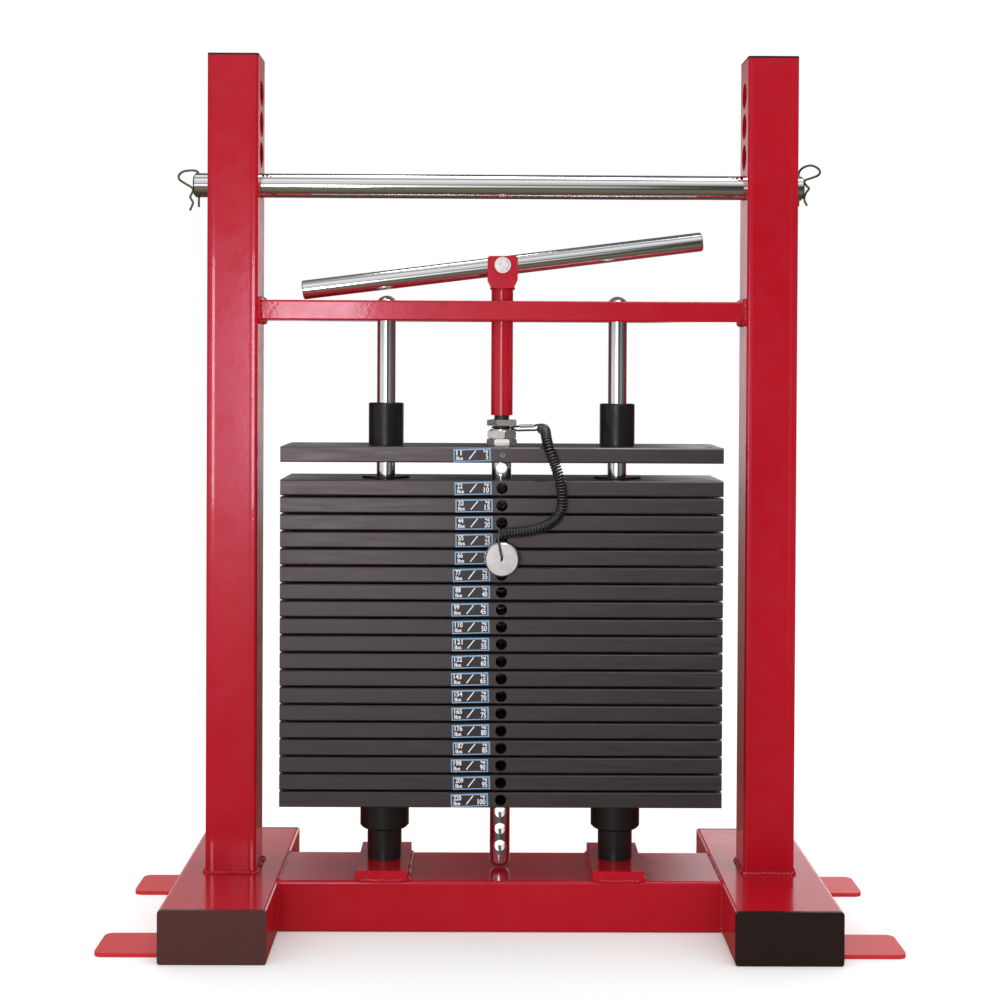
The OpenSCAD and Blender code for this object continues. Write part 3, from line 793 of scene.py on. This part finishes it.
def make_welds():
    """Beads along the joints of the red frame, and round the neck of the clevis."""
    wrap = UPRIGHT_SIDE + WELD_LIFT
    foot_level = FOOT_TOP + WELD_LIFT
    feet = [(box_line(side * UPRIGHT_X / MM, 0, foot_level, wrap, wrap), True) for side in (-1, 1)]
    weld("upright_foot_welds", feet, "frame", 2.9, 3.4, 0.35, 2.6, 3)
    bars = [(end_line(side * 239.2, 0, 604, 41, 21), True) for side in (-1, 1)]
    weld("crossbar_welds", bars, "frame", 3.2, 4.2, 0.2, 2.0, 5)
    beam_end = FOOT_INNER_X + 0.2
    beam = [([(side * beam_end, -50, z) for z in (4, 16, 28, 40, 47)]
             + [(side * beam_end, y, FOOT_TOP) for y in (-47, -30, 0, 30, 47)]
             + [(side * beam_end, 50, z) for z in (46, 30, 16, 4)], False) for side in (-1, 1)]
    weld("beam_end_welds", beam, "frame", 1.7, 3.0, 0.2, 1.0, 7)
    saddles = []
    for rod in (-ROD_X, ROD_X):
        for side in (-1, 1):
            edge = rod + side * 25.4
            saddles.append(([(edge, y, 50.6) for y in (-47, -24, 0, 24, 47)], False))
        for y in (-49.6, 49.6):
            saddles.append(([(x + rod, y, foot_level) for x in (-20, -8, 6, 20)], False))
    weld("saddle_welds", saddles, "frame", 2.2, 3.4, 0.25, 1.8, 11)
    tabs = [([(sx * 315.6, sy * y, 3.4) for y in (66, 80, 100, 118)], False)
            for sx in (-1, 1) for sy in (-1, 1)]
    weld("floor_tab_welds", tabs, "frame", 2.0, 3.4, 0.25, 1.2, 13)
    neck = [([(11.2 * math.cos(a), 11.2 * math.sin(a), 627)
              for a in (2 * math.pi * k / 24 for k in range(24))], True)]
    weld("clevis_weld", neck, "carriage", 1.5, 2.8, 0.2, 0.6, 17)


THREAD_PITCH = 2 * MM
THREAD_DEPTH = 1.1 * MM


def make_stud():
    low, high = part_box("lift_stud")
    height = high.z - low.z
    values = {"Turns": height / THREAD_PITCH, "Height": height, "Outer radius": (high.x - low.x) / 2,
              "Depth": THREAD_DEPTH, "Start height": low.z, "Material": OILED}
    stud = grown("threaded_stud", thread_tree(), [(0, 0, 0)], [], values)
    finish_piece(stud, "carriage", "dark_steel", "lift_stud")


make_welds()
make_stud()


# ---------------------------------------------------------------- labels

def glyphs(text, width, height, x, z, y, tilt, depth):
    """Vertices and faces of a short text fitted to a box whose lower left corner is (x, z)."""
    curve = bpy.data.curves.new("glyphs", "FONT")
    curve.body = text
    curve.size = 1.0
    curve.extrude = 0.5
    curve.offset = 0.022
    curve.resolution_u = 3
    holder = bpy.data.objects.new("glyphs", curve)
    scene.collection.objects.link(holder)
    mesh = bpy.data.meshes.new_from_object(holder.evaluated_get(bpy.context.evaluated_depsgraph_get()))
    bpy.data.objects.remove(holder)
    bpy.data.curves.remove(curve)
    work = bmesh.new()
    work.from_mesh(mesh)
    bmesh.ops.remove_doubles(work, verts=work.verts, dist=1e-4)
    bmesh.ops.recalc_face_normals(work, faces=work.faces)
    work.verts.ensure_lookup_table()
    xs = [v.co.x for v in work.verts]
    ys = [v.co.y for v in work.verts]
    wide = width / (max(xs) - min(xs))
    tall = height / (max(ys) - min(ys))
    vertices = []
    for v in work.verts:
        px = x + (v.co.x - min(xs)) * wide
        pz = z + (v.co.y - min(ys)) * tall
        vertices.append(tilt @ Vector((px, y - v.co.z * depth, pz)))
    faces = [tuple(v.index for v in f.verts) for f in work.faces]
    work.free()
    bpy.data.meshes.remove(mesh)
    return vertices, faces


def block(x0, x1, z0, z1, y0, y1, tilt):
    """The label's flat film between two depths."""
    corners = [(x, y, z) for x in (x0, x1) for y in (y0, y1) for z in (z0, z1)]
    faces = [(0, 2, 3, 1), (4, 5, 7, 6), (0, 1, 5, 4), (2, 6, 7, 3), (0, 4, 6, 2), (1, 3, 7, 5)]
    return [tilt @ Vector(c) for c in corners], faces


def frame_ring(w, h, left, right, top, bottom, y0, y1, tilt):
    """A flat picture-frame shape, closed, as the label's printed border."""
    outer = [(-w / 2, -h / 2), (w / 2, -h / 2), (w / 2, h / 2), (-w / 2, h / 2)]
    inner = [(-w / 2 + left, -h / 2 + bottom), (w / 2 - right, -h / 2 + bottom),
             (w / 2 - right, h / 2 - top), (-w / 2 + left, h / 2 - top)]
    vertices = []
    for y in (y0, y1):
        vertices += [tilt @ Vector((x, y, z)) for x, z in outer + inner]
    faces = []
    for k in range(4):
        n = (k + 1) % 4
        faces.append((k, n, 4 + n, 4 + k))
        faces.append((8 + n, 8 + k, 12 + k, 12 + n))
        faces.append((n, k, 8 + k, 8 + n))
        faces.append((4 + k, 4 + n, 12 + n, 12 + k))
    return vertices, faces


def slash(x0, z0, x1, z1, thick, y0, y1, tilt):
    """A straight stroke from (x0, z0) to (x1, z1), from depth y0 to y1."""
    run = Vector((x1 - x0, 0, z1 - z0)).normalized()
    side = Vector((run.z, 0, -run.x)) * thick / 2
    ends = [Vector((x0, 0, z0)), Vector((x1, 0, z1))]
    flat = [ends[0] - side, ends[0] + side, ends[1] + side, ends[1] - side]
    vertices = [tilt @ Vector((p.x, y, p.z)) for y in (y0, y1) for p in flat]
    faces = [(0, 1, 2, 3), (7, 6, 5, 4), (1, 0, 4, 5), (2, 1, 5, 6), (3, 2, 6, 7), (0, 3, 7, 4)]
    return vertices, faces


LABEL_W = 36
LABEL_H = 12.4
PRINT_EDGE = 15.4
DIGITS_WIDTH = {1: 2.2, 2: 5.2, 3: 7.6}
FILM_Y = (-0.16, 0.05)
BORDER_Y = (-0.28, -0.1)
INK_Y = -0.3
INK_DEPTH = 0.2


def make_label(kilos, centre, tilt_deg):
    """Film, border and print of one label: a list of (vertices, faces, material index)."""
    place = Matrix.Translation(centre) @ Matrix.Rotation(math.radians(-tilt_deg), 4, "Y")
    pounds = str(kilos * 11 // 5)
    kilos = str(kilos)
    w, h = LABEL_W * MM, LABEL_H * MM
    left, right, top, bottom = (v * MM for v in (1.1, 1.4, 1.4, 0.9))
    parts = [(*block(-w / 2, w / 2, -h / 2, h / 2, FILM_Y[0] * MM, FILM_Y[1] * MM, place), 0),
             (*frame_ring(w, h, left, right, top, bottom, BORDER_Y[0] * MM, BORDER_Y[1] * MM, place), 1)]
    pounds_wide = DIGITS_WIDTH[len(pounds)]
    kilos_wide = DIGITS_WIDTH[len(kilos)]
    for text, x, z, width, height in (
            (pounds, -PRINT_EDGE, 0.1, pounds_wide, 4.9),
            ("lbs", -PRINT_EDGE, -4.6, 6.4, 3.7),
            ("kg", PRINT_EDGE - 4.4, 1.6, 4.4, 3.5),
            (kilos, PRINT_EDGE - kilos_wide, -4.5, kilos_wide, 5.4)):
        box = [v * MM for v in (width, height, x, z, INK_Y + 0.1)]
        parts.append((*glyphs(text, *box, place, INK_DEPTH * MM), 2))
    stroke = [v * MM for v in (-3.2, -3.9, 3.6, 4.3, 1.0, INK_Y, -0.1)]
    parts.append((*slash(*stroke, place), 2))
    return parts


LABEL_X = -28
HAND_STUCK = {5: 0.0, 10: 1.0, 15: 2.0, 20: 2.0, 25: 2.2, 30: 1.6, 35: -0.2, 40: -0.2}
LAST_LIFTED_KILOS = 30


def make_labels():
    """Each label sits by hand: a little to one side and a little tilted."""
    wobble = random.Random(8)
    sheets = {"lifted_labels": ("carriage", "lifted_plate_labels", []),
              "lower_labels": ("frame", "lower_plate_labels", [])}
    for kilos in range(5, 101, 5):
        plate = "top_plate" if kilos == 5 else f"plate_{kilos}kg"
        low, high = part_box(plate)
        shift = HAND_STUCK.get(kilos, wobble.uniform(-1.6, 0.8)) - 1.0
        tilt = wobble.uniform(0.6, 2.0)
        centre = Vector((LABEL_X * MM + shift * MM, low.y, (low.z + high.z) / 2))
        name = "lifted_labels" if kilos <= LAST_LIFTED_KILOS else "lower_labels"
        sheets[name][2].extend(make_label(kilos, centre, tilt))
    for name, (body, node, parts) in sheets.items():
        vertices = []
        faces = []
        material = []
        for more, sides, index in parts:
            start = len(vertices)
            vertices += more
            faces += [tuple(start + i for i in face) for face in sides]
            material += [index] * len(sides)
        piece = new_piece(name, vertices, faces, [FILM, BORDER, INK])
        piece.data.polygons.foreach_set("material_index", material)
        piece.data.polygons.foreach_set("use_smooth", [False] * len(faces))
        work = bmesh.new()
        work.from_mesh(piece.data)
        bmesh.ops.recalc_face_normals(work, faces=work.faces)
        work.to_mesh(piece.data)
        work.free()
        finish_piece(piece, body, "label_film", node)


make_labels()


# ---------------------------------------------------------------- clips

CLIP_LEG_X = 298.2
CLIP_CENTRE_X = -3.9
CLIP_WIRE_R = 1.12
BAR_Z = 728
RIGHT_CLIP_ROUTE = [
    (0, -17), (0, -8), (0, 2), (0, 13), (2, 18.5), (7, 22), (13, 23), (19, 20.5),
    (21.5, 16.5), (19, 13), (12.5, 10.5), (7, 8.5), (6, 6), (8, 3), (10.5, 0),
    (8, -3.5), (6.2, -8), (6.2, -12), (8.5, -16.5),
]
LEFT_CLIP_ROUTE = [
    (0, -21), (0, -10), (0, 0), (0, 9), (1.2, 13), (4.4, 14.6), (9.4, 14.6), (15.4, 13.6),
    (19.2, 10.8), (20.2, 7.6), (18.2, 4.6), (11.8, 0.6), (7.2, -2.2), (5.9, -5.2), (7.2, -8.6),
    (8.6, -11.6), (7, -14.8), (5.9, -17.8), (8.6, -24.5),
]


def make_clips():
    clips = ((-1, LEFT_CLIP_ROUTE, "left_clip"), (1, RIGHT_CLIP_ROUTE, "right_clip"))
    for side, corners, name in clips:
        route = [mm(side * (CLIP_LEG_X + x) + CLIP_CENTRE_X, 0, BAR_Z + z) for x, z in corners]
        clip = tube(name + "_wire", spline(route, 6), CLIP_WIRE_R * MM, 12, WIRE, None)
        finish_piece(clip, name, "clip_wire", name)


make_clips()


# ---------------------------------------------------------------- selector stem

STEM_HOLE_D = 11
STEM_TOP = 471
STACK_FOOT = 121.5
PLATE_PITCH = 16.8
PLATE_MIDDLE = 7.5
PLATES_BELOW = 19
FREE_HOLES = 3
FREE_HOLE_DROP = 5


def make_stem():
    """The turned stem with its row of pin holes, cut through from front to back."""
    body = scaled([(0, 52), (5.5, 52), (7, 52.5), (8.8, 54), (9.7, 55.6), (10, 57.5),
                   (10, STEM_TOP), (0, STEM_TOP)])
    stem = lathe("drilled_stem", [(body, Matrix.Identity(4))], 128, [CHROME])
    lowest = STACK_FOOT + PLATE_MIDDLE
    heights = [lowest + PLATE_PITCH * k for k in range(PLATES_BELOW + 1)]
    heights += [lowest - PLATE_PITCH * k - FREE_HOLE_DROP for k in range(1, FREE_HOLES + 1)]
    bore = scaled([(0, 0), (STEM_HOLE_D / 2, 0), (STEM_HOLE_D / 2, 30), (0, 30)])
    drills = [(bore, facing_y(0, -15, z)) for z in heights]
    cutter = lathe("stem_drills", drills, 44, [CHROME])
    cut = stem.modifiers.new("drill", "BOOLEAN")
    cut.operation = "DIFFERENCE"
    cut.solver = "EXACT"
    cut.object = cutter
    ready = stem.evaluated_get(bpy.context.evaluated_depsgraph_get())
    mesh = bpy.data.meshes.new_from_object(ready)
    stem.modifiers.clear()
    stem.data = mesh
    bpy.data.objects.remove(cutter)
    shade(mesh, 30)
    finish_piece(stem, "carriage", "chrome", "selector_stem")


make_stem()


# ---------------------------------------------------------------- finishes of the CAD nodes

BY_SLOT = {
    "red_paint": RED, "foot_cap_plastic": FOOT_PLASTIC_PAINTED_LIT_LEFT, "black_plastic": BLACK_PLASTIC,
    "black_rubber": RUBBER, "chrome": CHROME, "dark_steel": OILED, "plated_steel": ZINC,
    "stack_paint": STACK, "label_film": BORDER, "lanyard_cord": JACKET,
    "turned_aluminium": ALUMINIUM, "clip_wire": WIRE,
}
BY_NODE = {"floor_tabs": TAB_RED, "left_upright": UPRIGHT_RED, "right_upright": UPRIGHT_RED}
for part in frame["record"]["subparts"]:
    for slot in nodes[part["node"]].material_slots:
        slot.material = BY_NODE.get(part["node"], BY_SLOT[part["material_slot"]])


# ---------------------------------------------------------------- stage and light

def set_ramp(node, stops):
    ramp = node.color_ramp
    while len(ramp.elements) > 1:
        ramp.elements.remove(ramp.elements[-1])
    first, colour = stops[0]
    ramp.elements[0].position = first
    ramp.elements[0].color = (*colour, 1)
    for position, colour in stops[1:]:
        stop = ramp.elements.new(position)
        stop.color = (*colour, 1)


def grey(value):
    return (value, value, value)


def studio_walls():
    """A shell that only reflections see: dark sides, pale back, soft overhead light."""
    material = bpy.data.materials.new("studio walls")
    material.use_nodes = True
    tree = material.node_tree
    tree.nodes.clear()

    def work_out(operation, *values):
        return math_node(tree, operation, *values)

    def ramp_node(source, stops):
        made = tree.nodes.new("ShaderNodeValToRGB")
        set_ramp(made, [((p + 1) / 2, c) for p, c in stops])
        tree.links.new(work_out("MULTIPLY_ADD", source, 0.5, 0.5), made.inputs[0])
        return made.outputs[0]

    def mix_node(kind, factor, a, b):
        made = tree.nodes.new("ShaderNodeMix")
        made.data_type = "RGBA"
        made.blend_type = kind
        sockets = [s for s in made.inputs if s.enabled]
        for socket, value in zip(sockets, (factor, a, b)):
            join(tree, value, socket)
        return [s for s in made.outputs if s.enabled][0]

    place = tree.nodes.new("ShaderNodeTexCoord")
    unit = tree.nodes.new("ShaderNodeVectorMath")
    unit.operation = "NORMALIZE"
    tree.links.new(place.outputs["Object"], unit.inputs[0])
    split = tree.nodes.new("ShaderNodeSeparateXYZ")
    tree.links.new(unit.outputs[0], split.inputs[0])
    x, y, z = split.outputs
    front = ramp_node(z, [
        (-1.0, grey(0.03)), (-0.9, (0.11, 0.095, 0.055)), (-0.79, (0.15, 0.135, 0.09)),
        (-0.53, (0.2, 0.18, 0.13)), (-0.375, (0.17, 0.165, 0.12)), (-0.27, (0.16, 0.16, 0.13)),
        (-0.2, grey(0.4)), (-0.12, grey(1.0)),
        (-0.05, grey(1.8)), (0.01, grey(1.8)), (0.06, grey(1.0)), (0.11, grey(0.55)), (0.17, grey(0.36)),
        (0.276, grey(0.5)), (0.42, grey(0.85)), (0.56, grey(0.7)), (0.69, grey(1.0)), (0.81, grey(1.0)),
        (0.9, grey(0.45)), (0.96, grey(0.3)), (0.985, grey(1.2)), (1.0, grey(1.2)),
    ])
    back = ramp_node(z, [
        (-1.0, grey(0.05)), (-0.5, (0.16, 0.07, 0.06)), (-0.24, (0.45, 0.18, 0.14)),
        (-0.12, (0.62, 0.36, 0.32)), (-0.05, grey(1.0)), (0.02, grey(1.1)), (0.12, grey(1.15)),
        (0.18, grey(0.95)), (0.22, grey(0.5)), (0.26, grey(0.6)), (0.32, grey(0.72)), (0.38, grey(0.45)),
        (0.5, grey(0.2)), (0.82, grey(0.12)), (0.94, grey(0.2)), (0.97, grey(1.2)), (1.0, grey(1.2)),
    ])
    front_sides = ramp_node(x, [
        (-1.0, grey(0.1)), (-0.97, grey(0.45)), (-0.89, grey(0.5)), (-0.75, grey(0.35)), (-0.6, grey(0.5)),
        (-0.41, grey(0.7)), (-0.2, grey(1)), (-0.1, grey(1)), (-0.03, grey(0.75)), (0.03, grey(0.5)),
        (0.09, grey(0.4)), (0.13, grey(0.1)), (0.17, grey(0.03)), (0.3, grey(0.05)), (0.48, grey(0.14)),
        (0.66, grey(0.18)), (0.82, grey(0.09)), (0.95, grey(0.05)), (1.0, grey(0.04)),
    ])
    back_sides = ramp_node(x, [
        (-1.0, grey(0.05)), (-0.6, grey(0.08)), (-0.42, grey(0.8)), (-0.135, grey(0.8)),
        (-0.115, grey(0.45)), (0.0, grey(0.15)), (0.12, grey(0.2)), (0.15, grey(1.6)),
        (0.42, grey(1.6)), (0.6, grey(0.08)),
        (1.0, grey(0.05)),
    ])
    turned = work_out("MAXIMUM", work_out("MULTIPLY_ADD", y, 3.0, 0.5), 0.0)
    behind = work_out("SMOOTH_MIN", turned, 1.0, 0.05)

    def away_from_level(steep, start):
        climb = work_out("MULTIPLY_ADD", work_out("ABSOLUTE", z), steep, start)
        return work_out("MINIMUM", work_out("MAXIMUM", climb, 0.0), 1.0)

    tone = mix_node("MIX", behind, front, back)
    front_sides = mix_node("MIX", away_from_level(2.0, -0.24), front_sides, (1, 1, 1, 1))
    back_sides = mix_node("MIX", away_from_level(2.4, -0.9), back_sides, (1, 1, 1, 1))
    sides = mix_node("MIX", behind, front_sides, back_sides)
    final = mix_node("MULTIPLY", 1.0, tone, sides)
    glow = tree.nodes.new("ShaderNodeEmission")
    tree.links.new(final, glow.inputs["Color"])
    out = tree.nodes.new("ShaderNodeOutputMaterial")
    tree.links.new(glow.outputs[0], out.inputs["Surface"])
    material.cycles.emission_sampling = "NONE"
    mesh = bpy.data.meshes.new("studio_walls")
    work = bmesh.new()
    bmesh.ops.create_icosphere(work, subdivisions=4, radius=8.0)
    work.to_mesh(mesh)
    work.free()
    mesh.materials.append(material)
    walls = bpy.data.objects.new("studio_walls", mesh)
    walls.location = (0, 0, 0.5)
    scene.collection.objects.link(walls)
    walls.visible_camera = False
    walls.visible_diffuse = False
    walls.visible_transmission = False
    walls.visible_volume_scatter = False
    walls.visible_shadow = False


FLOOR = 40
LAMPS = (
    ("overhead", (1.3, 0.3), 12.0, (0.1, 0.1, 2.3), (0, 0, 0.4)),
    ("side panel", (0.2, 0.5), 3.6, (-0.36, -1.84, 0.52), (-0.08, 0, 0.5)),
)


def light_stage():
    pale = Finish("pale floor", roughness=0.9)
    pale.link(pale.tint(pale.grain(3, 3), (0.9, 0.9, 0.9), (0.92, 0.92, 0.92)), "Base Color")
    pale.set("Emission Color", (1, 1, 1, 1))
    pale.set("Emission Strength", 0.11)
    pale.set("Specular IOR Level", 0.0)
    corners = [(-FLOOR, -FLOOR, 0), (FLOOR, -FLOOR, 0), (FLOOR, FLOOR, 0), (-FLOOR, FLOOR, 0)]
    floor = new_piece("floor", corners, [(0, 1, 2, 3)], [pale.material])
    floor.visible_glossy = False
    studio_walls()
    world = bpy.data.worlds.new("studio")
    scene.world = world
    world.use_nodes = True
    world.node_tree.nodes["Background"].inputs["Color"].default_value = (1, 1, 1, 1)
    world.node_tree.nodes["Background"].inputs["Strength"].default_value = 1.0
    world.cycles_visibility.glossy = False
    for name, size, power, place, aim in LAMPS:
        lamp = bpy.data.lights.new(name, "AREA")
        lamp.shape = "RECTANGLE"
        lamp.size, lamp.size_y = size
        lamp.energy = power
        holder = bpy.data.objects.new(name, lamp)
        holder.location = place
        holder.rotation_euler = (Vector(aim) - Vector(place)).to_track_quat("-Z", "Y").to_euler()
        holder.visible_camera = False
        scene.collection.objects.link(holder)
    scene.view_settings.view_transform = "Standard"
    scene.view_settings.look = "None"


light_stage()
